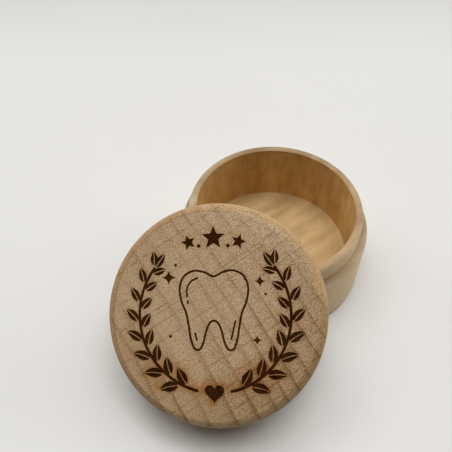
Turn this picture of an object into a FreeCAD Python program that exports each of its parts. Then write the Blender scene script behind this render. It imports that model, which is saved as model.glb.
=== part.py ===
import FreeCAD, Part
import Sketcher
import math
import os

# A round turned wooden keepsake box in two loose pieces: a base cup whose
# mouth is a stepped neck, and a lift-off cap that goes over the neck and sits
# on the shoulder. The box stands open: the base is upright on the table and
# the cap leans on its rim, one edge of its skirt on the table.
#
# Millimetres, +Z up, origin at the centre of the base's underside, +Y away
# from the side that the cap leans on, so the cap lies towards -Y.

doc = FreeCAD.newDocument("keepsake_box")

# ---------------------------------------------------------------- dimensions
sheet = doc.addObject("Spreadsheet::Sheet", "dims")
CELLS = [
    # both pieces are turned from one blank
    ("body_radius", 25.0),
    # base cup
    ("shoulder_height", 17.0),
    ("rim_height", 22.5),
    ("neck_radius", 23.0),
    ("cavity_radius", 21.0),
    ("floor_height", 4.5),
    ("foot_round", 0.7),
    ("shoulder_round", 0.8),
    ("rim_outer_round", 0.55),
    ("rim_inner_round", 0.2),
    ("cavity_cove", 1.0),
    # cap
    ("cap_height", 15.2),
    ("recess_radius", 23.25),
    ("recess_depth", 8.6),
    ("crown_round", 2.0),
    ("skirt_round", 0.5),
    ("mouth_round", 0.6),
    ("recess_cove", 1.0),
    # how the cap leans: tilt of its axis from the vertical, the direction it
    # tips towards, and where the centre of its skirt is in plan
    ("lean_tilt", 35.0),
    ("lean_azimuth", -108.0),
    ("lean_x", -13.25),
    ("lean_y", -26.82),
]
for row, (alias, value) in enumerate(CELLS, start=1):
    sheet.set("A%d" % row, alias)
    sheet.set("B%d" % row, repr(value))
    sheet.setAlias("B%d" % row, alias)
doc.recompute()


def origin_plane(body, role):
    for feature in body.Origin.OriginFeatures:
        if feature.Role == role:
            return feature
    raise RuntimeError("no origin plane " + role)


def lathe_profile(body, name, corners):
    """A closed half section on the body's XZ plane, radius along X and height
    along Z, with every corner held by two dimensions from the sheet."""
    sketch = body.newObject("Sketcher::SketchObject", name)
    sketch.AttachmentSupport = [(origin_plane(body, "XZ_Plane"), "")]
    sketch.MapMode = "FlatFace"

    def now(expression):
        if expression == "0":
            return 0.0
        return float(sheet.get(expression))

    points = [FreeCAD.Vector(now(r), now(z), 0) for r, z in corners]
    count = len(points)
    for i in range(count):
        sketch.addGeometry(Part.LineSegment(points[i], points[(i + 1) % count]), False)
    for i in range(count):
        sketch.addConstraint(Sketcher.Constraint("Coincident", i, 2, (i + 1) % count, 1))
    for i, (r, z) in enumerate(corners):
        for kind, axis, expression, value in (
            ("DistanceX", -2, r, points[i].x),
            ("DistanceY", -1, z, points[i].y),
        ):
            if expression == "0":
                sketch.addConstraint(Sketcher.Constraint("PointOnObject", i, 1, axis))
            else:
                index = sketch.addConstraint(Sketcher.Constraint(kind, -1, 1, i, 1, value))
                label = "%s_%d" % ("radius" if kind == "DistanceX" else "height", i)
                sketch.renameConstraint(index, label)
                sketch.setExpression("Constraints." + label, "dims." + expression)
    doc.recompute()
    return sketch


def turn(body, sketch):
    feature = body.newObject("PartDesign::Revolution", body.Name + "_turned")
    feature.Profile = sketch
    feature.ReferenceAxis = (sketch, ["V_Axis"])
    feature.Angle = 360.0
    sketch.Visibility = False
    doc.recompute()
    return feature


def round_edge(body, radius, height, size, name):
    """Rounds the one full circle of that radius at that height."""
    base = body.Tip
    r, z = float(sheet.get(radius)), 0.0 if height == "0" else float(sheet.get(height))
    found = []
    for index, edge in enumerate(base.Shape.Edges, start=1):
        curve = edge.Curve
        if not isinstance(curve, Part.Circle):
            continue
        if abs(curve.Radius - r) < 1e-4 and abs(curve.Center.z - z) < 1e-4:
            found.append("Edge%d" % index)
    if not found:
        raise RuntimeError("no edge to round for " + name)
    before = base.Shape.Volume
    feature = body.newObject("PartDesign::Fillet", name)
    feature.Base = (base, found)
    feature.setExpression("Radius", "dims." + size)
    doc.recompute()
    if abs(feature.Shape.Volume - before) < 1e-6:
        raise RuntimeError("rounding changed nothing: " + name)
    return feature


# ---------------------------------------------------------------- base cup
# Turned cup: flat foot, straight side, shoulder, neck with a thin flat rim,
# straight-walled cavity with a small cove around a flat floor.
base = doc.addObject("PartDesign::Body", "base_cup")
base.Label = "base_cup"
base_section = lathe_profile(
    base,
    "base_section",
    [
        ("0", "0"),
        ("body_radius", "0"),
        ("body_radius", "shoulder_height"),
        ("neck_radius", "shoulder_height"),
        ("neck_radius", "rim_height"),
        ("cavity_radius", "rim_height"),
        ("cavity_radius", "floor_height"),
        ("0", "floor_height"),
    ],
)
turn(base, base_section)
round_edge(base, "cavity_radius", "floor_height", "cavity_cove", "cavity_floor_cove")
round_edge(base, "cavity_radius", "rim_height", "rim_inner_round", "rim_inner_edge")
round_edge(base, "neck_radius", "rim_height", "rim_outer_round", "rim_outer_edge")
round_edge(base, "body_radius", "shoulder_height", "shoulder_round", "shoulder_edge")
round_edge(base, "body_radius", "0", "foot_round", "foot_edge")

# ---------------------------------------------------------------- cap
# Turned cap in its own upright frame, skirt down: thick crown with a soft
# rounded edge, and a recess that takes the neck with a little room around it.
cap = doc.addObject("PartDesign::Body", "lid_cap")
cap.Label = "lid_cap"
cap_section = lathe_profile(
    cap,
    "cap_section",
    [
        ("recess_radius", "0"),
        ("body_radius", "0"),
        ("body_radius", "cap_height"),
        ("0", "cap_height"),
        ("0", "recess_depth"),
        ("recess_radius", "recess_depth"),
    ],
)
turn(cap, cap_section)
round_edge(cap, "recess_radius", "recess_depth", "recess_cove", "recess_ceiling_cove")
round_edge(cap, "recess_radius", "0", "mouth_round", "recess_mouth_edge")
round_edge(cap, "body_radius", "0", "skirt_round", "skirt_edge")
round_edge(cap, "body_radius", "cap_height", "crown_round", "crown_edge")

# The cap leans: its axis is tipped by lean_tilt towards lean_azimuth, and the
# lowest point of the skirt's rounded edge is on the table, at height 0.
tilt = float(sheet.get("lean_tilt"))
azimuth = math.radians(float(sheet.get("lean_azimuth")))
cap.Placement = FreeCAD.Placement(
    FreeCAD.Vector(0, 0, 0),
    FreeCAD.Rotation(
        FreeCAD.Vector(-math.sin(azimuth), math.cos(azimuth), 0), tilt
    ),
)
cap.setExpression("Placement.Base.x", "dims.lean_x")
cap.setExpression("Placement.Base.y", "dims.lean_y")
cap.setExpression(
    "Placement.Base.z",
    "(dims.body_radius - dims.skirt_round) * sin(dims.lean_tilt * 1deg)"
    " + dims.skirt_round * (1 - cos(dims.lean_tilt * 1deg))",
)
doc.recompute()

# ---------------------------------------------------------------- write
for obj in doc.Objects:
    if "Invalid" in obj.State or "Error" in obj.State:
        raise RuntimeError("%s failed: %s" % (obj.Name, obj.State))
os.makedirs("parts", exist_ok=True)
pieces = [base, cap]
for body in pieces:
    shape = body.Shape
    if shape.isNull() or not shape.isValid() or len(shape.Solids) != 1:
        raise RuntimeError(body.Label + " has no single valid solid")
for body in pieces:
    shape = body.Shape
    shape.exportStep(os.path.join("parts", body.Label + ".step"))
    box = shape.optimalBoundingBox()
    print(
        "%s volume %.1f mm3, x %.2f..%.2f y %.2f..%.2f z %.3f..%.3f"
        % (
            body.Label,
            shape.Volume,
            box.XMin,
            box.XMax,
            box.YMin,
            box.YMax,
            box.ZMin,
            box.ZMax,
        )
    )
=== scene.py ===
"""A round turned wooden keepsake box, standing open: the cup upright on a pale
table and its lift-off cap leaning on the rim, with a burnt-in ornament on the
cap's face. Metres in the scene; the shapes below are written in millimetres."""

import math

import bpy
import numpy as np
from mathutils import Matrix, Vector, geometry, kdtree


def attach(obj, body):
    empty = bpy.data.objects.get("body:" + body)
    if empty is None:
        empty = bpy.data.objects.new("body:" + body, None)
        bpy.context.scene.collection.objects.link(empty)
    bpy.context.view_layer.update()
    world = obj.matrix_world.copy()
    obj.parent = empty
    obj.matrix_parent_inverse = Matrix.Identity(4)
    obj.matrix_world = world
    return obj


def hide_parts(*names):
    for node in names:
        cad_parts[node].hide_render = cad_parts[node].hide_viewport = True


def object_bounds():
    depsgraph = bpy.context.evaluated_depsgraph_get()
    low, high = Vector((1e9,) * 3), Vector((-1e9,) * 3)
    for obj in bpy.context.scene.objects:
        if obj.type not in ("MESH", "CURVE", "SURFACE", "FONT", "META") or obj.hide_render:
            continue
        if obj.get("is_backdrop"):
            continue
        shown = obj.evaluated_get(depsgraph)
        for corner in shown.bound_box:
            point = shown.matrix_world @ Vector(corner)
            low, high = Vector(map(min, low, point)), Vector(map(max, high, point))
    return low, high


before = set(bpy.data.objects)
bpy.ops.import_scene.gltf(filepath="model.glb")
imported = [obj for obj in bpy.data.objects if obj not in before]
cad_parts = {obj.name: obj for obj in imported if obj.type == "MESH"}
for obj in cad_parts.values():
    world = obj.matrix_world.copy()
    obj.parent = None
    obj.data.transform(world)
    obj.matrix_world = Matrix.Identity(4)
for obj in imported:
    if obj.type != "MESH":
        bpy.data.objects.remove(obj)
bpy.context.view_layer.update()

MM = 0.001

# ------------------------------------------------------------------ sizes, mm
BODY_R = 25.0
OUTER_R = BODY_R - 0.006  # a hair inside the solid, so that the box is never passed
SHOULDER_Z, RIM_Z = 17.0, 22.5
NECK_R, CAVITY_R, FLOOR_Z = 23.0, 21.0, 4.5
CAP_H, RECESS_R, RECESS_Z = 15.197, 23.25, 8.6
LEAN_TILT, LEAN_AZIMUTH = math.radians(35.0), math.radians(-108.0)
LEAN_AT = Vector((-13.25, -26.82, 0.0))
LEAN_AT.z = (BODY_R - 0.5) * math.sin(LEAN_TILT) + 0.5 * (1 - math.cos(LEAN_TILT))
LEAN_AXIS = Vector((-math.sin(LEAN_AZIMUTH), math.cos(LEAN_AZIMUTH), 0.0))
CAP_TURN = Matrix.Rotation(LEAN_TILT, 4, LEAN_AXIS)
CAP_PLACE = Matrix.Translation(LEAN_AT) @ CAP_TURN  # cap's own mm to the frame's mm


# ------------------------------------------------------------------ mesh tools
class Shell:
    """Collects vertices and faces in millimetres, with a map position for every
    face corner, and turns them into a mesh object in metres."""

    def __init__(self):
        self.points, self.faces, self.maps, self.slots = [], [], [], []

    def point(self, x, y, z):
        self.points.append((x, y, z))
        return len(self.points) - 1

    def face(self, corners, places, slot=0):
        self.faces.append(tuple(corners))
        self.maps.append(tuple(places))
        self.slots.append(slot)

    def ring(self, radius, height, count):
        return [
            self.point(
                radius * math.cos(2 * math.pi * j / count),
                radius * math.sin(2 * math.pi * j / count),
                height,
            )
            for j in range(count)
        ]

    def build(self, name, materials, map_side, place=None, sharp=13.0):
        mesh = bpy.data.meshes.new(name)
        co = np.array(self.points, float)
        if place is not None:
            m = np.array(place)
            co = co @ m[:3, :3].T + m[:3, 3]
        mesh.from_pydata((co * MM).tolist(), [], self.faces)
        for material in materials:
            mesh.materials.append(material)
        mesh.polygons.foreach_set("material_index", self.slots)
        mesh.polygons.foreach_set("use_smooth", [True] * len(self.faces))
        layer = mesh.uv_layers.new(name="OFBake")
        flat = np.array([p for places in self.maps for p in places], np.float32)
        layer.uv.foreach_set("vector", (flat / map_side).ravel())
        mesh.validate()
        mesh.update()
        mesh.set_sharp_from_angle(angle=math.radians(sharp))
        piece = bpy.data.objects.new(name, mesh)
        bpy.context.scene.collection.objects.link(piece)
        return piece


def arc(cx, cz, radius, start, end, steps):
    """Points of a rounding in the half section, from start to end in degrees."""
    return [
        (
            cx + radius * math.cos(math.radians(start + (end - start) * i / steps)),
            cz + radius * math.sin(math.radians(start + (end - start) * i / steps)),
        )
        for i in range(steps + 1)
    ]


def run(a, b, steps):
    """Points of a straight stretch in the half section, without its first."""
    return [
        (a[0] + (b[0] - a[0]) * i / steps, a[1] + (b[1] - a[1]) * i / steps)
        for i in range(1, steps + 1)
    ]


def inside(polygon, points):
    """Even-odd test of many points against one closed polygon."""
    x, y = points[:, 0], points[:, 1]
    hit = np.zeros(len(points), bool)
    x0, y0 = polygon[-1]
    for x1, y1 in polygon:
        crosses = (y1 > y) != (y0 > y)
        if y1 != y0:
            hit ^= crosses & (x < (x0 - x1) * (y - y1) / (y0 - y1) + x1)
        x0, y0 = x1, y1
    return hit


def fill(rim, spacing, loops=()):
    """Even triangles over a disc: rim is its closed boundary, loops are closed
    lines that the triangles keep as edges. Returns points, triangles, and for
    each rim point its index among the points."""
    rim = np.asarray(rim, float)
    reach = float(np.hypot(*rim.T).min()) - 0.75 * spacing
    held = [rim] + [np.asarray(l, float) for l in loops]
    points, edges = [], []
    for line in held:
        first = len(points)
        points.extend(map(tuple, line))
        edges.extend(
            (first + i, first + (i + 1) % len(line)) for i in range(len(line))
        )
    tree = kdtree.KDTree(len(points))
    for i, (x, y) in enumerate(points):
        tree.insert((x, y, 0.0), i)
    tree.balance()
    rows = int(reach / (spacing * 0.866)) + 1
    for row in range(-rows, rows + 1):
        y = row * spacing * 0.866
        columns = int(reach / spacing) + 1
        for column in range(-columns, columns + 1):
            x = (column + 0.5 * (row % 2)) * spacing
            if math.hypot(x, y) > reach:
                continue
            if tree.find((x, y, 0.0))[2] < 0.55 * spacing:
                continue
            points.append((x, y))
    out, _, triangles, origin, _, _ = geometry.delaunay_2d_cdt(
        [Vector(p) for p in points], edges, [], 0, 1e-6
    )
    where = {}
    for index, sources in enumerate(origin):
        for s in sources:
            where[s] = index
    return (
        np.array([(p.x, p.y) for p in out], float),
        [tuple(t) for t in triangles],
        [where[i] for i in range(len(rim))],
    )


def disc(shell, ring, height, spacing, up, centre):
    """Closes a ring of the shell with a flat disc; centre is its map position."""
    rim = [shell.points[i][:2] for i in ring]
    points, triangles, on_rim = fill(rim, spacing)
    index = {k: ring[i] for i, k in enumerate(on_rim)}
    for k, (x, y) in enumerate(points):
        if k not in index:
            index[k] = shell.point(x, y, height)
    flip = 1.0 if up else -1.0
    for a, b, c in triangles:
        (ax, ay), (bx, by), (cx, cy) = points[a], points[b], points[c]
        turn = (bx - ax) * (cy - ay) - (by - ay) * (cx - ax)
        t = (a, b, c) if (turn > 0) == up else (a, c, b)
        shell.face(
            [index[k] for k in t],
            [(centre[0] + flip * points[k][0], centre[1] + points[k][1]) for k in t],
        )


def lengths(profile):
    out = [0.0]
    for a, b in zip(profile, profile[1:]):
        out.append(out[-1] + math.hypot(b[0] - a[0], b[1] - a[1]))
    return out


def halves(shell, first, profile, count, layouts):
    """Sweeps a half section round the axis from an existing ring. layouts gives
    the map layout of each stretch and segment. Returns the last ring."""
    last = first
    ways = lengths(profile)
    for k in range(1, len(profile)):
        ring = shell.ring(*profile[k], count)
        a, b = ways[k - 1], ways[k]
        for j in range(count):
            n = (j + 1) % count
            at = layouts(k, j)
            shell.face(
                (last[j], last[n], ring[n], ring[j]),
                (at(j, a), at(j + 1, a), at(j + 1, b), at(j, b)),
            )
        last = ring
    return last


def round_disc(centre, radius, start, count, grow, flip=1.0):
    """Map position of a ring laid out round a disc: radius at the walk start,
    growing or shrinking along the walk."""

    def at(j, walked):
        r = radius + grow * (walked - start)
        t = 2 * math.pi * j / count
        return (centre[0] + flip * r * math.cos(t), centre[1] + r * math.sin(t))

    return at


def unrolled(corner, radius, start, count, first, upright=False):
    """Map position of a wall unrolled from its first segment."""

    def at(j, walked):
        along = 2 * math.pi * radius * (j - first) / count
        across = walked - start
        if upright:
            return (corner[0] + across, corner[1] + along)
        return (corner[0] + along, corner[1] + across)

    return at


# ------------------------------------------------------------------ ornament
# A burnt-in line drawing for the cap's face, in its own axes: u to the right
# and v up as the face is read. A tooth in thin line inside a leafy wreath,
# with stars above and a heart below.
ORNAMENT_TURN = math.radians(-2.68)
BOLD_DEPTH, LINE_DEPTH = 0.24, 0.13


def smooth(points, closed, per=10):
    """A rounded line through the points (Catmull-Rom)."""
    p = np.asarray(points, float)
    n = len(p)
    out = []
    spans = n if closed else n - 1
    for i in range(spans):
        if closed:
            a, b, c, d = p[(i - 1) % n], p[i], p[(i + 1) % n], p[(i + 2) % n]
        else:
            b, c = p[i], p[i + 1]
            a = p[i - 1] if i else 2 * b - c
            d = p[i + 2] if i + 2 < n else 2 * c - b
        for k in range(per):
            t = k / per
            out.append(
                0.5
                * (
                    2 * b
                    + (c - a) * t
                    + (2 * a - 5 * b + 4 * c - d) * t * t
                    + (3 * b - a - 3 * c + d) * t**3
                )
            )
    if not closed:
        out.append(p[-1])
    return np.array(out)


def sides(line, closed):
    """Unit normals to the left of a line at each of its points."""
    if closed:
        way = np.roll(line, -1, 0) - np.roll(line, 1, 0)
    else:
        way = np.gradient(line, axis=0)
    way /= np.linalg.norm(way, axis=1)[:, None]
    return np.stack([-way[:, 1], way[:, 0]], 1)


def ring_stroke(line, width):
    n = sides(line, True)
    return [line + n * width / 2, line - n * width / 2]


def stroke(line, width, taper=0.0):
    """An open line with round ends, thinner towards them by the taper."""
    n = sides(line, False)
    t = np.linspace(-1, 1, len(line))
    half = (width / 2 * (1 - taper * t**2))[:, None]
    left, right = line + n * half, line - n * half
    cap = []
    for end, normal, h in ((-1, n[-1], half[-1, 0]), (0, -n[0], half[0, 0])):
        turn = [
            line[end]
            + h
            * np.array(
                [
                    normal[0] * math.cos(a) + normal[1] * math.sin(a),
                    normal[1] * math.cos(a) - normal[0] * math.sin(a),
                ]
            )
            for a in np.linspace(0, math.pi, 6)[1:-1]
        ]
        cap.append(np.array(turn))
    return [np.concatenate([left, cap[0], right[::-1], cap[1]])]


def leaf(root, angle, length, width, bend, gap=0.1):
    """The two halves of a pointed leaf, either side of an unburnt midrib."""
    t = np.linspace(0.0, 1.0, 19)
    half = width / 2 * np.sin(math.pi * t**0.85) ** 0.9 * (1.08 - 0.22 * t)
    half[0] = half[-1] = 0.0
    axis = np.stack([t * length, bend * length * t * (1 - t) * 2], 1)
    n = sides(axis, False)
    parts = []
    for sign in (1, -1):
        outer = axis + n * (sign * np.maximum(half, gap))[:, None]
        inner = axis + n * sign * gap
        keep = np.flatnonzero(half > gap * 1.3)
        lo, hi = keep[0], keep[-1]
        parts.append(
            np.concatenate([outer[lo : hi + 1], inner[lo : hi + 1][::-1]])
        )
    c, s = math.cos(angle), math.sin(angle)
    turn = np.array([[c, -s], [s, c]])
    return [[p @ turn.T + np.asarray(root)] for p in parts]


def star(x, y, outer, inner, points=5, turn=90.0):
    out = []
    for i in range(2 * points):
        r = outer if i % 2 == 0 else inner
        a = math.radians(turn + 180.0 * i / points)
        out.append((x + r * math.cos(a), y + r * math.sin(a)))
    # points blunted a little, as a hot beam leaves them
    p = np.array(out)
    a, b = np.roll(p, 1, 0), np.roll(p, -1, 0)
    cut = []
    for i in range(len(p)):
        for k in (0.14, 0.05):
            cut.append(p[i] + (a[i] - p[i]) * k)
        for k in (0.05, 0.14):
            cut.append(p[i] + (b[i] - p[i]) * k)
    return [np.array(cut)]


def sparkle(x, y, size, waist=0.16):
    out = []
    for i in range(4):
        a0, a1 = math.radians(90 * i), math.radians(90 * (i + 1))
        p0 = np.array([math.cos(a0), math.sin(a0)]) * size
        p1 = np.array([math.cos(a1), math.sin(a1)]) * size
        mid = np.array([math.cos((a0 + a1) / 2), math.sin((a0 + a1) / 2)]) * size * waist
        for k in range(8):
            t = k / 8
            out.append((1 - t) ** 2 * p0 + 2 * t * (1 - t) * mid + t * t * p1)
    return [np.array(out) + (x, y)]


def dot(x, y, radius, steps=22):
    a = np.linspace(0, 2 * math.pi, steps, endpoint=False)
    return [np.stack([x + radius * np.cos(a), y + radius * np.sin(a)], 1)]


def heart(x, y, size):
    t = np.linspace(0, 2 * math.pi, 56, endpoint=False)
    hx = 16 * np.sin(t) ** 3
    hy = 13 * np.cos(t) - 5 * np.cos(2 * t) - 2 * np.cos(3 * t) - np.cos(4 * t)
    return [np.stack([x + hx * size / 32, y + (hy + 2) * size / 32], 1)[::-1]]


def ornament():
    """[(loops, depth, bold)] of every burnt mark."""
    marks = []
    half = [
        (0.0, 7.5), (2.2, 8.45), (4.6, 8.75), (6.8, 7.5), (7.75, 5.0), (7.35, 2.0),
        (6.3, -0.6), (5.75, -3.2), (5.3, -6.0), (4.5, -8.3), (3.3, -8.6),
        (2.4, -7.1), (1.75, -4.6), (0.95, -2.85), (0.0, -2.3),
    ]  # fmt: skip
    outline = half + [(-x, y) for x, y in half[-2:0:-1]]
    tooth = smooth([(x, y + 0.9) for x, y in outline], True)
    marks.append((ring_stroke(tooth, 0.5), LINE_DEPTH, False))
    for line in (
        [(-6.05, 4.0), (-6.1, 5.7), (-5.2, 7.25), (-3.7, 8.05)],
        [(-5.95, 2.95), (-5.85, 2.45)],
        [(3.9, -5.4), (4.35, -3.4), (4.85, -1.5)],
        [(-3.9, -5.6), (-4.25, -4.2)],
    ):
        marks.append((stroke(smooth(line, False), 0.44), LINE_DEPTH, False))
    for x, y, size in ((-10.3, 8.2, 1.75), (10.4, 7.2, 1.35), (9.6, -5.6, 1.2)):
        marks.append((sparkle(x, y, size), LINE_DEPTH, False))
    for x, y, size in ((-8.7, 11.0, 0.34), (11.6, 4.4, 0.3), (-9.9, -4.9, 0.34)):
        marks.append((dot(x, y, size, 14), LINE_DEPTH, False))
    radius = 17.1
    for side in (1, -1):
        angles = np.radians(np.linspace(-77.0, 37.0, 60))
        stem = np.stack([side * radius * np.cos(angles), radius * np.sin(angles)], 1)
        if side < 0:
            stem = stem[::-1]
        marks.append((stroke(stem, 0.62), BOLD_DEPTH, True))
        for i, degrees in enumerate(np.linspace(-68.0, 33.0, 8)):
            a = math.radians(degrees)
            along = a + math.pi / 2
            for out, size in ((1, 1.0), (-1, 0.94)):
                shrink = 1.0 - 0.035 * i
                lead = math.radians(5.2 if out > 0 else 0.0)
                p = (radius + out * 0.5) * np.array(
                    [math.cos(a + lead), math.sin(a + lead)]
                )
                aim = along + lead - out * math.radians(40.0)
                root = (side * p[0], p[1])
                way = aim if side > 0 else math.pi - aim
                for loops in leaf(
                    root, way, 4.6 * size * shrink, 2.3 * shrink, 0.1 * out * side
                ):
                    marks.append((loops, BOLD_DEPTH, True))
        a = math.radians(37.9)
        root = (side * radius * math.cos(a), radius * math.sin(a))
        way = a + math.pi / 2 - 0.04
        for loops in leaf(root, way if side > 0 else math.pi - way, 4.0, 1.8, 0.03 * side):
            marks.append((loops, BOLD_DEPTH, True))
    marks.append((star(0.0, 17.0, 2.75, 1.2), BOLD_DEPTH, True))
    for side in (1, -1):
        marks.append((star(side * 5.7, 16.05, 1.75, 0.78, 5, 90 - side * 19), BOLD_DEPTH, True))
        marks.append((dot(side * 3.35, 15.2, 0.42), BOLD_DEPTH, True))
    marks.append((heart(0.0, -17.3, 4.4), BOLD_DEPTH, True))
    c, s = math.cos(ORNAMENT_TURN), math.sin(ORNAMENT_TURN)
    turn = np.array([[c, -s], [s, c]])
    return [([l @ turn.T for l in loops], depth, bold) for loops, depth, bold in marks]


# ------------------------------------------------------------------ node tools
class Graph:
    """Short forms for building a material's nodes."""

    def __init__(self, material):
        material.use_nodes = True
        self.tree = material.node_tree
        self.tree.nodes.clear()

    def node(self, kind, **settings):
        n = self.tree.nodes.new(kind)
        for key, value in settings.items():
            setattr(n, key, value)
        return n

    def put(self, socket, value):
        if isinstance(value, bpy.types.NodeSocket):
            self.tree.links.new(value, socket)
        else:
            socket.default_value = value

    def math(self, operation, a, b=None, c=None, clamp=False):
        n = self.node("ShaderNodeMath", operation=operation, use_clamp=clamp)
        for i, value in enumerate((a, b, c)):
            if value is not None:
                self.put(n.inputs[i], value)
        return n.outputs[0]

    def add(self, a, b):
        return self.math("ADD", a, b)

    def mul(self, a, b):
        return self.math("MULTIPLY", a, b)

    def vec(self, operation, a, b=None, scale=None):
        n = self.node("ShaderNodeVectorMath", operation=operation)
        self.put(n.inputs[0], a)
        if b is not None:
            self.put(n.inputs[1], b)
        if scale is not None:
            self.put(n.inputs["Scale"], scale)
        scalar = operation in ("DOT_PRODUCT", "LENGTH", "DISTANCE")
        return n.outputs["Value" if scalar else "Vector"]

    def mix(self, factor, a, b, blend="MIX"):
        n = self.node("ShaderNodeMix", data_type="RGBA", blend_type=blend)
        self.put(n.inputs[0], factor)
        self.put(n.inputs[6], a)
        self.put(n.inputs[7], b)
        return n.outputs[2]

    def span(self, value, low, high, to_low=0.0, to_high=1.0, smooth=True):
        n = self.node(
            "ShaderNodeMapRange",
            interpolation_type="SMOOTHSTEP" if smooth else "LINEAR",
        )
        for i, v in enumerate((value, low, high, to_low, to_high)):
            self.put(n.inputs[i], v)
        return n.outputs[0]

    def ramp(self, value, stops):
        n = self.node("ShaderNodeValToRGB")
        marks = n.color_ramp.elements
        while len(marks) < len(stops):
            marks.new(0.5)
        for mark, (at, level) in zip(marks, stops):
            mark.position = at
            mark.color = (level, level, level, 1.0)
        self.put(n.inputs[0], value)
        return n.outputs[0]

    def curve(self, value, points):
        """A line through points given between 0 and 1."""
        n = self.node("ShaderNodeFloatCurve")
        line = n.mapping.curves[0]
        while len(line.points) < len(points):
            line.points.new(0.5, 0.5)
        for mark, (x, y) in zip(line.points, points):
            mark.location = (x, y)
            mark.handle_type = "VECTOR"
        n.mapping.update()
        self.put(n.inputs["Value"], value)
        return n.outputs[0]

    def noise(self, at, scale, detail=2.0, rough=0.5, colour=False):
        n = self.node("ShaderNodeTexNoise")
        self.put(n.inputs["Vector"], at)
        n.inputs["Scale"].default_value = scale
        n.inputs["Detail"].default_value = detail
        n.inputs["Roughness"].default_value = rough
        return n.outputs["Color" if colour else 0]

    def cells(self, at, scale, randomness=1.0):
        n = self.node("ShaderNodeTexVoronoi", feature="F1")
        self.put(n.inputs["Vector"], at)
        n.inputs["Scale"].default_value = scale
        n.inputs["Randomness"].default_value = randomness
        return n.outputs["Distance"], n.outputs["Color"]

    def part(self, value, index):
        """One number out of a vector or a colour."""
        n = self.node("ShaderNodeSeparateXYZ")
        self.put(n.inputs[0], value)
        return n.outputs[index]

    def node_xyz(self, a, b, body):
        """A position made of the ring reach, the way across it and the height."""
        joined = self.node("ShaderNodeCombineXYZ")
        self.put(joined.inputs[0], a)
        self.put(joined.inputs[1], b)
        self.put(joined.inputs[2], self.part(body, 2))
        return joined.outputs[0]


# ------------------------------------------------------------------ wood
# Close-grained pale hardwood, fibres along each piece's own axis, so the flat
# faces show end grain: growth rings cut square, fine rays across them and
# pores as dots. Around the sides the same body shows streaks and flecks.


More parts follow.
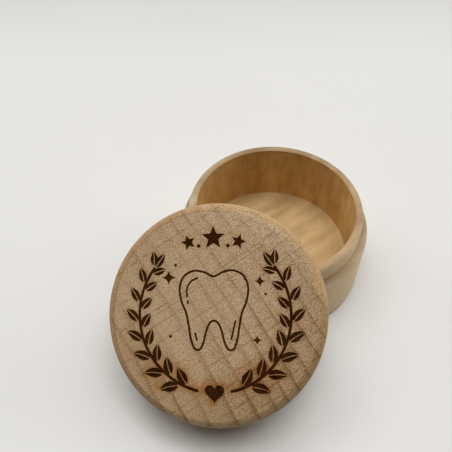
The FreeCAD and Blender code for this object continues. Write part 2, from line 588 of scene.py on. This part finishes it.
def wood(name, part, place, axis, grain, tones):
    """part is "cap", "char" (the cap's burnt marks) or "cup"."""
    material = bpy.data.materials.new(name)
    g = Graph(material)
    coord = g.node("ShaderNodeTexCoord")
    at = g.vec("SCALE", coord.outputs["Object"], scale=1000.0)
    if place is not None:
        m = g.node("ShaderNodeMapping", vector_type="TEXTURE")
        g.put(m.inputs["Vector"], at)
        m.inputs["Location"].default_value = place.translation
        m.inputs["Rotation"].default_value = place.to_euler()
        at = m.outputs[0]
    body = g.vec("ADD", at, grain["offset"])
    endness = g.math(
        "ABSOLUTE", g.vec("DOT_PRODUCT", coord.outputs["Normal"], tuple(axis))
    )
    long = g.math("SUBTRACT", 1.0, endness, clamp=True)
    radius = g.vec("LENGTH", g.vec("MULTIPLY", at, (1.0, 1.0, 0.0)))
    z = g.part(at, 2)

    # rings, gently waved, darkening towards each line and pale straight after
    slow = g.vec("MULTIPLY", body, (1.0, 1.0, 0.12))
    wave = g.vec("SUBTRACT", g.noise(slow, 0.07, 2.0, 0.5, True), (0.5, 0.5, 0.5))
    fine = g.vec("SUBTRACT", g.noise(slow, 0.5, 2.0, 0.5, True), (0.5, 0.5, 0.5))
    waved = g.vec("ADD", body, g.vec("SCALE", wave, scale=grain["wave"]))
    waved = g.vec("ADD", waved, g.vec("SCALE", fine, scale=grain["ripple"]))
    rings, angle = grain["rings"], grain["angle"]
    c, s = math.cos(angle), math.sin(angle)
    along = g.vec("DOT_PRODUCT", waved, (c, s, 0.012))
    across = g.vec("DOT_PRODUCT", waved, (-s, c, 0.0))
    bow = g.add(g.mul(across, 0.5 / grain["far"]), g.mul(g.add(along, 10.0), grain["fan"]))
    reach = g.add(along, g.mul(across, bow))
    low, high = rings[0], rings[-1]
    count = len(rings) - 1
    unit = g.span(reach, low, high, smooth=False)
    places = [(r - low) / (high - low) for r in rings]
    order = g.curve(unit, [(p, i / count) for i, p in enumerate(places)])
    phase = g.math("FRACT", g.mul(order, float(count)))
    vigour = g.curve(unit, list(zip(places, grain["vigour"])))
    patch = g.noise(slow, 0.13, 2.0)
    late = g.mul(g.ramp(phase, grain["shade"]), vigour)
    late = g.mul(late, g.span(patch, 0.32, 0.68, *grain["patchy"]))
    late = g.mul(late, g.span(across, -14.0, 2.0, *grain["taper"]))
    late = g.mul(late, g.span(endness, 0.1, 0.9, grain["side_late"], 1.0))
    ring_at = g.node_xyz(reach, across, body)
    thread = g.noise(g.vec("MULTIPLY", ring_at, (1.0, 0.03, 0.02)), 1.5, 2.0, 0.6)
    band = g.noise(g.vec("MULTIPLY", ring_at, (0.26, 0.055, 0.012)), 1.0, 2.0, 0.5)
    band = g.span(band, 0.3, 0.7, -grain["band"], grain["band"], smooth=False)
    band = g.mul(band, g.span(endness, 0.2, 0.9, 0.6, 1.0))
    thread = g.mul(g.span(thread, 0.52, 0.74), g.span(endness, 0.2, 0.9, 0.3, 1.0))

    # rays: thin broken lines square to the rings, some strong, most faint
    lane = g.add(
        g.mul(across, grain["ray_pitch"]),
        g.noise(g.vec("MULTIPLY", ring_at, (0.03, 0.11, 0.05)), 1.0, 1.0),
    )
    number = g.math("FLOOR", lane)
    chance = g.node("ShaderNodeTexWhiteNoise", noise_dimensions="1D")
    g.put(chance.inputs["W"], number)
    luck = chance.outputs["Color"]
    spot = g.add(0.15, g.mul(g.part(luck, 0), 0.7))
    off = g.math("ABSOLUTE", g.math("SUBTRACT", g.math("FRACT", lane), spot))
    ray = g.span(off, 0.1, 0.03)
    dash = g.node_xyz(g.mul(reach, 0.5), g.mul(number, 3.7), body)
    dash = g.noise(g.vec("MULTIPLY", dash, (1.0, 1.0, 0.45)), 1.0, 2.0, 0.75)
    ray = g.mul(ray, g.span(dash, 0.36, 0.56))
    ray = g.mul(ray, g.span(g.part(luck, 1), 0.1, 0.9, 0.15, 1.0))
    ray = g.mul(ray, g.span(endness, 0.2, 0.85, 0.14, 1.0))

    # fine body: fibre ends and a scatter of small pores
    crowd = g.add(g.noise(slow, 0.055, 2.0), g.vec("DOT_PRODUCT", body, grain["coarse"]))
    crowd = g.span(crowd, 0.3, 0.62)
    fibre = g.noise(g.vec("MULTIPLY", body, (1.0, 1.0, 0.04)), 3.6, 0.0)
    _, tuft = g.cells(g.vec("MULTIPLY", body, (1.0, 1.0, 0.05)), 5.0)
    tuft = g.math("SUBTRACT", g.part(tuft, 0), 0.5)
    streak = g.noise(g.vec("MULTIPLY", body, (1.0, 1.0, 0.02)), 0.9, 2.0, 0.55)
    gap, tint = g.cells(g.vec("MULTIPLY", body, (1.0, 1.0, 0.09)), 3.5, 0.9)
    size = g.span(g.part(tint, 0), 0.1, 1.0, 0.0, 0.42, smooth=False)
    pore = g.math("SUBTRACT", 1.0, g.span(gap, g.mul(size, 0.4), size), clamp=True)
    pore = g.mul(pore, g.span(g.part(tint, 1), 0.1, 0.9))
    pore = g.mul(pore, g.add(0.34, g.mul(crowd, 0.3)))
    pore = g.mul(pore, g.span(endness, 0.2, 0.95, 0.25, 1.0))
    blotch = g.noise(slow, 0.05, 3.0, 0.55)

    colour = g.mix(g.mul(late, tones["late_mix"]), tones["early"], tones["late"])
    colour = g.mix(g.mul(thread, tones["thread_mix"]), colour, tones["late"])
    colour = g.mix(g.span(blotch, 0.3, 0.72, 0.0, 0.5), colour, tones["blush"])
    ripple = g.add(g.mul(g.math("SUBTRACT", fibre, 0.5), 2.1), g.mul(tuft, 0.16))
    ripple = g.math("MINIMUM", ripple, 0.3)
    ripple = g.mul(ripple, g.mul(g.add(0.55, g.mul(crowd, 0.25)), tones["speckle"]))
    ripple = g.mul(ripple, g.span(endness, 0.3, 0.999, 0.3, 1.0))
    sway = g.span(streak, 0.3, 0.7, -0.12, 0.1, smooth=False)
    sway = g.mul(sway, g.mul(g.add(0.08, g.mul(long, 0.75)), tones["sway"]))
    # the dark of a fleck is browner, not greyer
    fleck = g.vec("SCALE", (0.88, 1.05, 1.38), scale=g.add(g.add(ripple, sway), band))
    colour = g.vec("MULTIPLY", colour, g.vec("ADD", fleck, (1.0, 1.0, 1.0)))
    colour = g.mix(g.mul(ray, tones["ray_mix"]), colour, tones["ray"])
    colour = g.mix(g.mul(pore, tones["pore_mix"]), colour, tones["pore"])

    def dyed(factor, dye):
        return g.mix(factor, colour, g.mix(1.0, colour, dye, "MULTIPLY"))

    rough = g.span(fibre, 0.2, 0.8, 0.5, 0.7, smooth=False)
    rough = g.math("SUBTRACT", rough, g.mul(late, 0.06))
    height = g.add(g.mul(fibre, 0.5), g.mul(late, 0.18))
    height = g.math("SUBTRACT", height, g.mul(pore, 0.8))
    height = g.math("SUBTRACT", height, g.mul(ray, 0.25))

    # long grain along the sides is paler than end grain; on the cup the sides are pushed much paler still, as painted
    # light
    colour = dyed(long, tones["side"])
    if part == "cup":
        # inside, the wall is painted warmer and darker than the rim, as painted shade and painted bounce light, and
        # the floor paler, as painted light
        within = g.mul(
            g.span(radius, CAVITY_R + 0.2, CAVITY_R + 0.02),
            g.span(z, FLOOR_Z - 0.6, FLOOR_Z - 0.1),
        )
        wall = g.mul(within, g.span(endness, 0.9, 0.35))
        floor_painted_light = g.math("SUBTRACT", within, wall, clamp=True)
        colour = dyed(floor_painted_light, tones["floor_painted_light"])
        colour = dyed(wall, tones["wall"])
        # painted shade: a darker corner under the neck and darker towards the foot by the table
        corner_shade = g.mul(
            g.span(g.math("ABSOLUTE", g.math("SUBTRACT", radius, NECK_R + 0.1)), 0.6, 0.05),
            g.span(g.math("ABSOLUTE", g.math("SUBTRACT", z, SHOULDER_Z)), 0.7, 0.1),
        )
        colour = dyed(g.mul(corner_shade, 0.14), (0.7, 0.58, 0.48, 1.0))
        colour = dyed(g.mul(g.span(z, 1.6, 0.1), 0.5), (0.72, 0.65, 0.58, 1.0))
        colour = dyed(g.span(z, RIM_Z - 0.3, RIM_Z - 0.05), (0.95, 0.945, 0.94, 1.0))
        rim = g.span(z, RIM_Z - 0.5, RIM_Z - 0.1)
        # painted shade and light on the rim top: darker at the back, paler at the left
        rim_back_shade = g.mul(rim, g.span(g.part(at, 1), 8.0, 20.0))
        colour = dyed(rim_back_shade, (0.88, 0.885, 0.83, 1.0))
        left = g.mul(rim, g.span(g.part(at, 0), -12.0, -20.0))
        colour = dyed(left, (1.07, 1.16, 1.28, 1.0))
        # painted shade: the rim's inner edge darker at the back and sides
        inner_edge_shade = g.mul(g.span(z, RIM_Z - 0.9, RIM_Z - 0.1), g.span(radius, 21.75, 21.15))
        front = g.span(g.part(at, 1), -3.0, -14.0)
        inner_edge_shade = g.mul(inner_edge_shade, g.math("SUBTRACT", 1.0, front))
        colour = dyed(g.mul(inner_edge_shade, 0.8), (0.84, 0.75, 0.6, 1.0))
        # painted highlight on the near edge of the rim: paler inside than outside
        colour = dyed(g.mul(g.mul(rim, front), g.span(radius, 22.4, 21.7)), (1.13, 1.08, 1.0, 1.0))
        mottle = g.noise(g.vec("MULTIPLY", at, (1.0, 1.0, 0.4)), 0.4, 3.0, 0.55)
        colour = dyed(g.mul(wall, g.span(mottle, 0.42, 0.7)), (0.86, 0.82, 0.76, 1.0))
        colour = dyed(g.mul(wall, g.span(mottle, 0.5, 0.28)), (1.06, 1.07, 1.08, 1.0))
        ledge = g.mul(g.span(radius, 23.4, 24.2), g.span(z, SHOULDER_Z - 1.15, SHOULDER_Z - 0.35))
        colour = dyed(ledge, (0.94, 1.01, 1.07, 1.0))
    else:
        # crown edge, rubbed to a warmer tone than the sanded face, most of all
        # to one side of the blank and in the outermost rings
        rim = g.mul(g.span(radius, 22.95, 23.35), g.span(z, 10.5, 13.2))
        lean = g.vec("DOT_PRODUCT", at, (-0.037, 0.015, 0.0))
        warm = g.add(g.span(lean, -0.1, 0.75), g.mul(g.span(reach, 17.6, 19.4), 0.5))
        cloud = g.span(g.noise(at, 0.22, 3.0, 0.6), 0.3, 0.68, 0.78, 1.1)
        colour = dyed(g.math("MINIMUM", g.mul(g.mul(rim, warm), cloud), 1.0), tones["edge"])
        # painted light: the crown a little paler at the top right
        pale = g.span(g.vec("DOT_PRODUCT", at, (0.031, 0.026, 0.0)), 0.2, 0.9)
        colour = dyed(g.mul(rim, pale), (1.02, 1.02, 0.98, 1.0))
        # painted shade: the crown darker low down
        low_crown_shade = g.span(g.vec("DOT_PRODUCT", at, (0.008, -0.039, 0.0)), -0.1, 0.7)
        colour = dyed(g.mul(rim, low_crown_shade), (0.73, 0.7, 0.63, 1.0))
        amber = g.span(g.vec("DOT_PRODUCT", at, (0.036, -0.02, 0.0)), 0.35, 0.9)
        colour = dyed(g.mul(rim, amber), (0.97, 0.945, 0.865, 1.0))
        # painted shade: the face darker low down
        low = g.span(g.vec("DOT_PRODUCT", at, (0.004, -0.04, 0.0)), 0.45, 0.95)
        low = g.mul(low, g.span(radius, 23.4, 22.9))
        colour = dyed(g.mul(low, 0.72), (0.74, 0.7, 0.62, 1.0))
        seam = g.mul(g.span(radius, 22.9, 23.25), g.span(radius, 24.0, 23.3))
        seam = g.mul(g.mul(seam, g.span(z, 14.0, 14.8)), g.span(lean, 0.1, 0.7))
        colour = dyed(g.mul(seam, g.mul(cloud, 0.7)), (0.88, 0.79, 0.62, 1.0))
        # paler along the outer edge of the crown
        paler_outer_edge = g.mul(g.span(radius, 24.35, 24.85), g.span(z, 12.2, 13.4))
        colour = dyed(g.mul(paler_outer_edge, 0.6), (1.14, 1.12, 1.1, 1.0))
        # painted highlight: a lighter line where the face meets the crown at the top right; painted shade: a duller
        # far edge
        seam_glint = g.span(g.vec("DOT_PRODUCT", at, (0.0221, 0.0353, 0.0)), 0.9, 0.965)
        seam_glint = g.mul(seam_glint, g.mul(g.span(radius, 22.75, 23.1), g.span(radius, 23.7, 23.3)))
        colour = dyed(g.mul(seam_glint, g.span(z, 14.0, 14.8)), (1.2, 1.22, 1.26, 1.0))
        far_edge_shade = g.mul(g.span(lean, 0.5, 0.92), g.span(radius, 23.4, 22.9))
        colour = dyed(g.mul(far_edge_shade, g.span(z, 14.0, 14.8)), (0.92, 0.915, 0.91, 1.0))
        # painted shade and painted light on the face: darker to the right and low on the left, paler at the left and
        # at the top right
        face = g.mul(g.span(radius, 23.3, 22.7), g.span(z, CAP_H - 0.6, CAP_H - 0.3))
        face_shade = g.span(g.vec("DOT_PRODUCT", at, (0.93, -0.36, 0.0)), 8.0, 22.0)
        colour = dyed(g.mul(face, face_shade), (0.875, 0.855, 0.82, 1.0))
        face_shade = g.span(g.vec("LENGTH", g.vec("SUBTRACT", at, (-20.0, -11.0, CAP_H))), 13.0, 3.0)
        colour = dyed(g.mul(face, face_shade), (0.89, 0.865, 0.82, 1.0))
        face_light = g.span(g.vec("LENGTH", g.vec("SUBTRACT", at, (-21.0, 5.5, CAP_H))), 10.0, 2.0)
        colour = dyed(g.mul(face, face_light), (1.06, 1.1, 1.13, 1.0))
        face_light = g.span(g.vec("DOT_PRODUCT", at, (0.45, 0.89, 0.0)), 16.5, 22.5)
        colour = dyed(g.mul(face, face_light), (1.06, 1.085, 1.1, 1.0))
        scorch = g.node("ShaderNodeAttribute", attribute_name="scorch")
        smoke = g.span(g.noise(at, 0.4, 3.0, 0.6), 0.3, 0.66, 0.35, 1.0)
        heat = g.mul(scorch.outputs["Fac"], smoke)
        colour = dyed(g.math("MINIMUM", heat, 1.0), tones["scorch"])

    if part == "char":
        # char in the marks: the ring and fibre pattern still shows through it
        ember = g.mul(g.span(fibre, 0.35, 0.75, smooth=False), 0.6)
        ember = g.add(ember, g.mul(g.span(patch, 0.3, 0.7), 0.25))
        ember = g.math("SUBTRACT", ember, g.mul(late, 0.3), clamp=True)
        ember = g.math("SUBTRACT", ember, g.mul(pore, 0.4), clamp=True)
        colour = g.mix(ember, tones["char"], tones["ember"])
        # thin lines are burnt less deep and stay redder
        thin = g.span(z, CAP_H - 0.2, CAP_H - 0.16)
        colour = dyed(thin, (1.45, 1.2, 0.8, 1.0))
        rough = g.span(fibre, 0.2, 0.8, 0.75, 0.92, smooth=False)

    shader = g.node("ShaderNodeBsdfPrincipled")
    g.put(shader.inputs["Base Color"], colour)
    g.put(shader.inputs["Roughness"], rough)
    shader.inputs["Specular IOR Level"].default_value = 0.02 if part == "char" else 0.18
    bump = g.node("ShaderNodeBump")
    bump.inputs["Strength"].default_value = 0.5
    bump.inputs["Distance"].default_value = 0.00005
    g.put(bump.inputs["Height"], height)
    g.put(shader.inputs["Normal"], bump.outputs[0])
    out = g.node("ShaderNodeOutputMaterial")
    g.put(out.inputs["Surface"], shader.outputs[0])
    return material


CAP_TONES = {
    "early": (0.447, 0.311, 0.179, 1.0),
    "late": (0.216, 0.116, 0.0496, 1.0),
    "late_mix": 0.9,
    "thread_mix": 0.16,
    "blush": (0.415, 0.279, 0.156, 1.0),
    "ray": (0.19, 0.1, 0.043, 1.0),
    "ray_mix": 0.64,
    "pore": (0.13, 0.066, 0.025, 1.0),
    "pore_mix": 0.6,
    "speckle": 0.92,
    "sway": 1.0,
    "side": (1.1, 1.11, 1.11, 1.0),
    "edge": (0.85, 0.765, 0.665, 1.0),
    "scorch": (0.7, 0.47, 0.22, 1.0),
    "char": (0.0195, 0.0046, 0.0004, 1.0),
    "ember": (0.076, 0.028, 0.006, 1.0),
}
CUP_TONES = dict(
    CAP_TONES,
    early=(0.394, 0.2755, 0.1615, 1.0),
    blush=(0.36, 0.2384, 0.136, 1.0),
    late_mix=0.3,
    thread_mix=0.08,
    ray_mix=0.12,
    pore_mix=0.14,
    speckle=0.2,
    sway=0.4,
    # side: long grain paler, and on the cup much paler still, as painted light
    side=(1.86, 2.0, 2.08, 1.0),
    # painted light on the cup's floor; painted shade and bounce light on its inner wall
    floor_painted_light=(1.24, 1.21, 0.97, 1.0),
    wall=(0.86, 0.725, 0.435, 1.0),
)
CAP_GRAIN = {
    "rings": [-27.5, -24.0, -20.4, -16.8, -12.55, -7.0, -2.4, 1.7, 4.6, 7.95, 11.25, 14.9, 18.05, 21.5, 24.8, 28.0],
    "vigour": [0.6, 0.6, 0.9, 0.8, 0.48, 0.84, 0.76, 0.57, 0.84, 0.95, 0.7, 0.78, 0.6, 0.6, 0.6, 0.6],
    "shade": [(0.0, 0.55), (0.04, 0.1), (0.1, 0.0), (0.45, 0.02), (0.66, 0.12), (0.79, 0.32), (0.88, 0.62), (0.96, 1.0), (1.0, 0.92)],
    "side_late": 0.22,
    "angle": math.radians(29.5),
    "far": 320.0,
    "fan": 0.0014,
    "taper": (1.48, 0.66),
    "band": 0.03,
    "wave": 0.9,
    "ripple": 0.35,
    "ray_pitch": 0.46,
    "coarse": (0.014, 0.004, 0.0),
    "patchy": (0.7, 1.2),
    "offset": (0.0, 0.0, 0.0),
}
CUP_GRAIN = {
    "rings": [-29.0, -25.6, -22.3, -18.4, -14.9, -11.0, -7.2, -3.6, 0.3, 4.0, 7.3, 11.2, 14.8, 18.6, 22.1, 25.7, 29.0],
    "vigour": [0.7, 0.7, 0.9, 0.75, 0.8, 1.0, 0.7, 0.9, 0.8, 0.7, 0.95, 0.8, 0.9, 0.7, 0.9, 0.7, 0.8],
    "shade": [(0.0, 0.7), (0.16, 0.4), (0.34, 0.1), (0.55, 0.1), (0.75, 0.42), (0.9, 0.75), (1.0, 0.75)],
    "side_late": 0.25,
    "angle": math.radians(-60.0),
    "far": 120.0,
    "fan": 0.0,
    "taper": (1.0, 1.0),
    "band": 0.18,
    "wave": 1.8,
    "ripple": 0.6,
    "ray_pitch": 0.4,
    "coarse": (0.0, 0.0, 0.0),
    "patchy": (0.35, 1.3),
    "offset": (1.7, -0.9, 311.0),
}
CAP_AXIS = CAP_TURN.to_3x3() @ Vector((0, 0, 1))
lid_wood = wood("lid_wood", "cap", CAP_PLACE, CAP_AXIS, CAP_GRAIN, CAP_TONES)
lid_char = wood("lid_char", "char", CAP_PLACE, CAP_AXIS, CAP_GRAIN, CAP_TONES)
base_wood = wood("base_wood", "cup", None, Vector((0, 0, 1)), CUP_GRAIN, CUP_TONES)

# ------------------------------------------------------------------ base cup
COUNT = 400
base = Shell()
side = 122.0
under = base.ring(OUTER_R - 0.7, 0.0, COUNT)
disc(base, under, 0.0, 1.6, False, (26.0, 26.0))
section = arc(OUTER_R - 0.7, 0.7, 0.7, -90, 0, 9)
foot_end = len(section) - 1
section += run(section[-1], (OUTER_R, SHOULDER_Z - 0.8), 8)
section += arc(OUTER_R - 0.8, SHOULDER_Z - 0.8, 0.8, 0, 90, 10)[1:]
section += run(section[-1], (NECK_R + 0.28, SHOULDER_Z), 2)
section += [(NECK_R + 0.2, SHOULDER_Z - 0.03), (NECK_R + 0.04, SHOULDER_Z - 0.03)]
section += [(NECK_R, SHOULDER_Z + 0.1)]
section += run(section[-1], (NECK_R, 21.95), 3)
section += arc(NECK_R - 0.55, 21.95, 0.55, 0, 90, 10)[1:]
section += run(section[-1], (21.2, RIM_Z), 2)
rim_end = len(section) - 1
section += arc(21.2, 22.3, 0.2, 90, 180, 9)[1:]
section += run(section[-1], (CAVITY_R, FLOOR_Z + 1.0), 9)
wall_end = len(section) - 1
section += arc(20.0, FLOOR_Z + 1.0, 1.0, 0, -90, 10)[1:]


walk = lengths(section)


half = COUNT // 2
foot_map = round_disc((26.0, 26.0), 24.3, 0.0, COUNT, 1.0, -1.0)
outer_maps = [
    unrolled((1.0, 53.4), 25.0, walk[foot_end], COUNT, 0),
    unrolled((97.0, 1.0), 25.0, walk[foot_end], COUNT, half, True),
]
inner_maps = [
    unrolled((1.0, 81.0), 21.0, walk[rim_end], COUNT, 0),
    unrolled((1.0, 101.0), 21.0, walk[rim_end], COUNT, half),
]
floor_map = round_disc((74.3, 24.0), 20.0 + walk[-1], 0.0, COUNT, -1.0)


def base_layout(k, j):
    part = 0 if j < half else 1
    if k <= foot_end:
        return foot_map
    if k <= rim_end:
        return outer_maps[part]
    if k <= wall_end:
        return inner_maps[part]
    return floor_map


floor_ring = halves(base, under, section, COUNT, base_layout)
disc(base, floor_ring, FLOOR_Z, 1.2, True, (74.3, 24.0))
base_piece = base.build("base_turned_cup", [base_wood], side)
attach(base_piece, "base")
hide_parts("base_cup")

# ------------------------------------------------------------------ cap
CAP_COUNT = 480
FACE_R = 23.25
cap = Shell()
side = 106.0
ceiling = cap.ring(RECESS_R - 1.0, RECESS_Z, CAP_COUNT)
disc(cap, ceiling, RECESS_Z, 1.6, False, (80.0, 26.0))
section = arc(RECESS_R - 1.0, RECESS_Z - 1.0, 1.0, 90, 0, 10)
cove_end = len(section) - 1
section += run(section[-1], (RECESS_R, 0.6), 4)
section += arc(RECESS_R + 0.6, 0.6, 0.6, 180, 270, 9)[1:]
section += run(section[-1], (OUTER_R - 0.5, 0.0), 1)
section += arc(OUTER_R - 0.5, 0.5, 0.5, -90, 0, 9)[1:]
section += run(section[-1], (OUTER_R, CAP_H - 2.0), 6)
skirt_end = len(section) - 1
section += arc(OUTER_R - 2.0, CAP_H - 2.0, 2.0, 0, 74, 11)[1:]
section += [(FACE_R, CAP_H)]
walk = lengths(section)
half = CAP_COUNT // 2
cove_map = round_disc((80.0, 26.0), RECESS_R - 1.0, 0.0, CAP_COUNT, 1.0, -1.0)
wall_maps = [
    unrolled((1.0, 55.0), 25.0, walk[cove_end], CAP_COUNT, 0),
    unrolled((1.0, 79.5), 25.0, walk[cove_end], CAP_COUNT, half),
]
face_map = round_disc((27.3, 27.3), FACE_R + walk[-1], 0.0, CAP_COUNT, -1.0)


def cap_layout(k, j):
    if k <= cove_end:
        return cove_map
    if k <= skirt_end:
        return wall_maps[0 if j < half else 1]
    return face_map


face_ring = halves(cap, ceiling, section, CAP_COUNT, cap_layout)

# the face: flat, with every mark sunk to its own depth between upright walls
marks = ornament()
loops = [loop for group, _, _ in marks for loop in group]
rim = [cap.points[i][:2] for i in face_ring]
points, triangles, on_rim = fill(rim, 0.42, loops)
middle = np.array([points[list(t)].mean(0) for t in triangles])
depth = np.zeros(len(triangles))
for group, deep, bold in marks:
    everything = np.concatenate(group)
    low, high = everything.min(0), everything.max(0)
    near = np.flatnonzero(((middle >= low) & (middle <= high)).all(1))
    if len(near):
        hit = np.zeros(len(near), bool)
        for loop in group:
            hit ^= inside(loop, middle[near])
        depth[near[hit]] = np.maximum(depth[near[hit]], deep)
known = {(k, 0.0): face_ring[i] for i, k in enumerate(on_rim)}


def corner(k, deep):
    if (k, deep) not in known:
        known[k, deep] = cap.point(points[k][0], points[k][1], CAP_H - deep)
    return known[k, deep]


def on_face(k, lift=0.0):
    return (27.3 + points[k][0] + lift, 27.3 + points[k][1])


edge_of = {}
for number, (a, b, c) in enumerate(triangles):
    (ax, ay), (bx, by), (cx, cy) = points[a], points[b], points[c]
    if (bx - ax) * (cy - ay) - (by - ay) * (cx - ax) < 0:
        b, c = c, b
    deep = float(depth[number])
    cap.face([corner(k, deep) for k in (a, b, c)], [on_face(k) for k in (a, b, c)], 1 if deep else 0)
    for p, q in ((a, b), (b, c), (c, a)):
        edge_of[p, q] = deep
for (p, q), deep in list(edge_of.items()):
    other = edge_of.get((q, p), deep)
    if deep > other:
        # p to q bounds the deeper floor: its wall rises to the shallower side
        cap.face(
            (corner(q, deep), corner(p, deep), corner(p, other), corner(q, other)),
            (on_face(q), on_face(p), on_face(p, 0.02), on_face(q, 0.02)),
            1,
        )
lid_piece = cap.build("lid_turned_cap", [lid_wood, lid_char], side, CAP_PLACE)

# scorch around the bold marks: strongest at their edge, drifting to one side; the wider haze low on the face is partly
# painted shade
bold_points = np.concatenate([loop for group, _, bold in marks if bold for loop in group])
tree = kdtree.KDTree(len(bold_points))
for i, (x, y) in enumerate(bold_points):
    tree.insert((x, y, 0.0), i)
tree.balance()
drift = (-0.55, 0.75)
scorch = np.zeros(len(cap.points), np.float32)
for i, (x, y, z) in enumerate(cap.points):
    if z > CAP_H - 0.6:
        near = tree.find((x, y, 0.0))[2]
        blown = tree.find((x - drift[0], y - drift[1], 0.0))[2]
        low_scorch_and_shade = min(1.0, max(0.0, (-6.0 - y) / 8.0))
        scorch[i] = (
            0.5 * math.exp(-near / 0.22)
            + (0.22 + 0.5 * low_scorch_and_shade) * math.exp(-((blown / (0.7 + 0.5 * low_scorch_and_shade)) ** 2))
            + 0.28 * low_scorch_and_shade * math.exp(-((near / 2.6) ** 2))
        )
layer = lid_piece.data.attributes.new("scorch", "FLOAT", "POINT")
layer.data.foreach_set("value", scorch)
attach(lid_piece, "lid")
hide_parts("lid_cap")

# ------------------------------------------------------------------ stage
def table_material():
    material = bpy.data.materials.new("table_white")
    g = Graph(material)
    coord = g.node("ShaderNodeTexCoord")
    cloud = g.noise(coord.outputs["Object"], 9.0, 3.0, 0.5)
    grain = g.noise(coord.outputs["Object"], 900.0, 2.0, 0.5)
    level = g.add(g.span(cloud, 0.3, 0.7, 0.985, 1.0), g.span(grain, 0.3, 0.7, -0.006, 0.006))
    # painted shade: the table darker towards the back; painted light: a little paler towards the front
    level = g.mul(level, g.span(g.part(coord.outputs["Object"], 1), 0.085, 0.165, 1.0, 0.87))
    level = g.mul(level, g.span(g.part(coord.outputs["Object"], 1), 0.0, -0.05, 1.0, 1.035))
    shader = g.node("ShaderNodeBsdfPrincipled")
    g.put(shader.inputs["Base Color"], g.vec("SCALE", (0.64, 0.633, 0.612), scale=level))
    g.put(shader.inputs["Roughness"], g.span(grain, 0.3, 0.7, 0.6, 0.7))
    shader.inputs["Specular IOR Level"].default_value = 0.2
    out = g.node("ShaderNodeOutputMaterial")
    g.put(out.inputs["Surface"], shader.outputs[0])
    return material


TABLE_R = 0.6
table = bpy.data.meshes.new("table_top")
round_edge = [
    (TABLE_R * math.cos(2 * math.pi * i / 128), TABLE_R * math.sin(2 * math.pi * i / 128), 0.0)
    for i in range(128)
]
table.from_pydata(round_edge, [], [tuple(range(128))])
table.materials.append(table_material())
table_piece = bpy.data.objects.new("table_top", table)
table_piece.location.z = -0.00002
bpy.context.scene.collection.objects.link(table_piece)
table_piece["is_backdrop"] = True


def soft_light(name, at, aim, size, power, colour=(1, 1, 1)):
    data = bpy.data.lights.new(name, "AREA")
    data.shape = "DISK"
    data.size = size
    data.energy = power
    data.color = colour
    lamp = bpy.data.objects.new(name, data)
    lamp.location = at
    lamp.rotation_euler = (Vector(aim) - Vector(at)).to_track_quat("-Z", "Y").to_euler()
    bpy.context.scene.collection.objects.link(lamp)
    return lamp


# wide soft lights: most of it from overhead, the rest from behind the box and
# from both sides, so little reaches under the cap's front
for name, azimuth, elevation, size, power in (
    ("soft_overhead", 297.0, 85.0, 0.55, 3.7),
    ("soft_high_right", 39.0, 68.0, 0.65, 2.8),
    ("soft_high_left", 135.0, 66.0, 0.45, 2.2),
    ("soft_left", 180.0, 52.0, 0.45, 0.8),
    ("soft_low_left", 143.0, 22.0, 0.45, 1.7),
    ("soft_low_right", 22.0, 29.0, 0.55, 2.25),
):
    a, e = math.radians(azimuth), math.radians(elevation)
    way = Vector((math.cos(a) * math.cos(e), math.sin(a) * math.cos(e), math.sin(e)))
    soft_light(name, way * 0.9, (-0.007, -0.015, 0.01), size, power)
world = bpy.data.worlds.new("studio")
bpy.context.scene.world = world
world.use_nodes = True
sky = world.node_tree.nodes["Background"]
sky.inputs["Color"].default_value = (1.0, 0.995, 0.98, 1.0)
sky.inputs["Strength"].default_value = 0.01
# the studio's far wall: pale to look at, too far off to light the box
wall = world.node_tree.nodes.new("ShaderNodeBackground")
wall.inputs["Color"].default_value = (0.62, 0.615, 0.6, 1.0)
either = world.node_tree.nodes.new("ShaderNodeMixShader")
seen = world.node_tree.nodes.new("ShaderNodeLightPath")
studio = world.node_tree.links.new
studio(seen.outputs["Is Camera Ray"], either.inputs[0])
studio(sky.outputs[0], either.inputs[1])
studio(wall.outputs[0], either.inputs[2])
studio(either.outputs[0], world.node_tree.nodes["World Output"].inputs["Surface"])
bpy.context.scene.view_settings.view_transform = "Standard"

# ------------------------------------------------------------------ camera
camera_data = bpy.data.cameras.new("camera")
camera_data.sensor_fit = "HORIZONTAL"
camera_data.sensor_width = 36.0
camera_data.lens = 585.558 / 452.0 * 36.0
camera_data.shift_x = 0.0
camera_data.shift_y = 0.0
camera_data.clip_start, camera_data.clip_end = 0.005, 20.0
camera = bpy.data.objects.new("camera", camera_data)
pitch, roll = 0.8922, -0.0032
forward = Vector((0.0, math.cos(pitch), -math.sin(pitch)))
level_up = Vector((0.0, math.sin(pitch), math.cos(pitch)))
level_right = Vector((1.0, 0.0, 0.0))
right = level_right * math.cos(roll) + level_up * math.sin(roll)
up = level_up * math.cos(roll) - level_right * math.sin(roll)
camera.matrix_world = Matrix(
    (
        (right.x, up.x, -forward.x, -13.1792 * MM),
        (right.y, up.y, -forward.y, -101.2645 * MM),
        (right.z, up.z, -forward.z, 139.7817 * MM),
        (0, 0, 0, 1),
    )
)
bpy.context.scene.collection.objects.link(camera)
bpy.context.scene.camera = camera

low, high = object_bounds()
